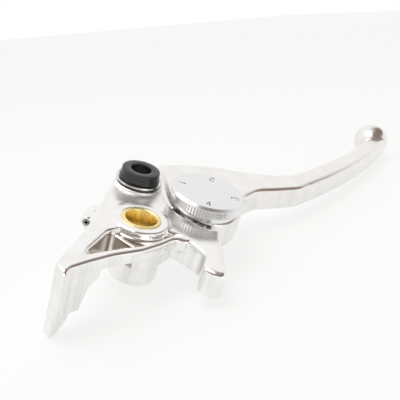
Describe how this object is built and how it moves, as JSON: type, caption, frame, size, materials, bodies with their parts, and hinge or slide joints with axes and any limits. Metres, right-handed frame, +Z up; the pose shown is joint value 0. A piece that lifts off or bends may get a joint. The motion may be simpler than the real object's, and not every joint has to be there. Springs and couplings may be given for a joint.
{
  "type": "adjustable brake lever",
  "caption": "Motorcycle brake lever with ball end, knurled reach dial, cast lever holder, sealed pivot and brass push rod seat",
  "frame": {"origin": "On the pivot axis, level with the top face of the lever holder", "axes": "+Z up the pivot axis, out of the marked side of the dial; +Y away from the rider; +X from the pivot towards the dial and the finger grip"},
  "size_m": [0.1208, 0.2105, 0.0314],
  "materials": {
    "cast": "polished",
    "blade": "polished",
    "dial": "satin anodised",
    "brass": "machined",
    "steel": "ground",
    "spring": "drawn",
    "rubber": "moulded"
  },
  "bodies": {
    "holder": {"knocker": "cast", "pivot_sleeve": "steel", "upper_seal": "rubber", "lower_seal": "rubber", "upper_collar": "steel", "lower_collar": "steel", "upper_lip_ring": "rubber", "lower_lip_ring": "rubber", "upper_shim": "steel", "lower_shim": "steel", "reach_spring": "spring", "upper_barrel_bush": "brass", "lower_barrel_bush": "brass", "spring_pin": "spring"},
    "blade": {"blade": "blade", "blade_bush": "brass", "detent_ball": "steel", "detent_spring": "spring"},
    "dial": {"dial": "dial", "wave_washer": "steel", "dial_washer": "steel", "dial_screw": "steel"}
  },
  "joints": [
    {"name": "blade_reach", "type": "hinge", "parent": "holder", "child": "blade", "pos_m": [0, 0, 0], "axis": [0, 0, 1], "range_deg": [0, 5.45]},
    {"name": "dial_turn", "type": "hinge", "parent": "blade", "child": "dial", "pos_m": [0.02413, -0.0019, 0], "axis": [0, 0, -1], "range_deg": [0, 270]}
  ],
  "couplings": [
    {"joint": "blade_reach", "follows": "dial_turn", "ratio": 0.02}
  ]
}
